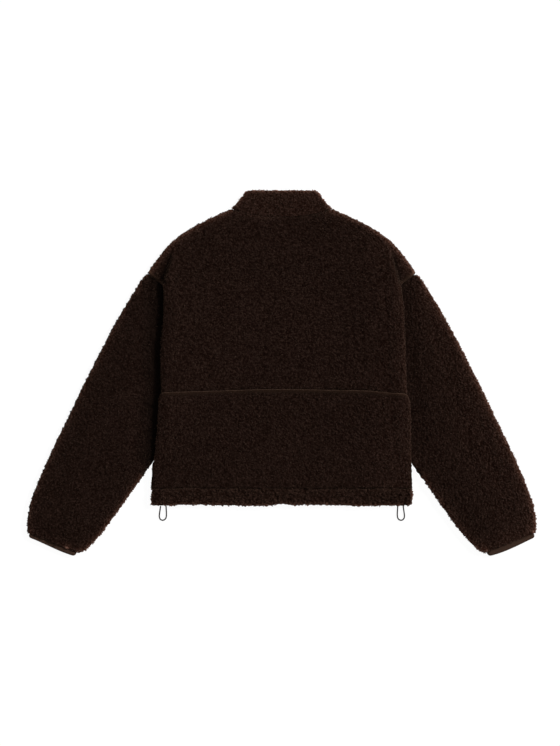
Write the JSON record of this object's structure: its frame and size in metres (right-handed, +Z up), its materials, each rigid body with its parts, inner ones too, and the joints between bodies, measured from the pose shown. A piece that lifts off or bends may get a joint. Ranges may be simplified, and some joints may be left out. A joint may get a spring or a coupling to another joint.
{
  "type": "sherpa fleece pullover",
  "caption": "Short boxy pullover of deep-pile fleece with a stand collar, drop shoulders and a cord-drawn hem, laid flat with its back upwards.",
  "frame": {"origin": "centre of the outline, on the surface the garment lies on, measured without the draw cord loops", "axes": "+X towards the sleeve on the right as the back is seen, +Y towards the collar, +Z up off the surface"},
  "size_m": [0.9946, 0.714, 0.0252],
  "materials": {
    "sherpa": "deep curly pile, matt",
    "binding": "smooth knitted elastic, matt",
    "cord": "braided elastic cord, matt"
  },
  "bodies": {
    "root": {"front_panel": "sherpa", "back_upper": "sherpa", "back_lower": "sherpa", "collar": "sherpa", "hem_channel": "sherpa", "sleeve_left": "sherpa", "sleeve_right": "sherpa", "cuff_binding_left": "binding", "cuff_binding_right": "binding", "drawcord_loop_left": "cord", "drawcord_loop_right": "cord"}
  },
  "joints": []
}
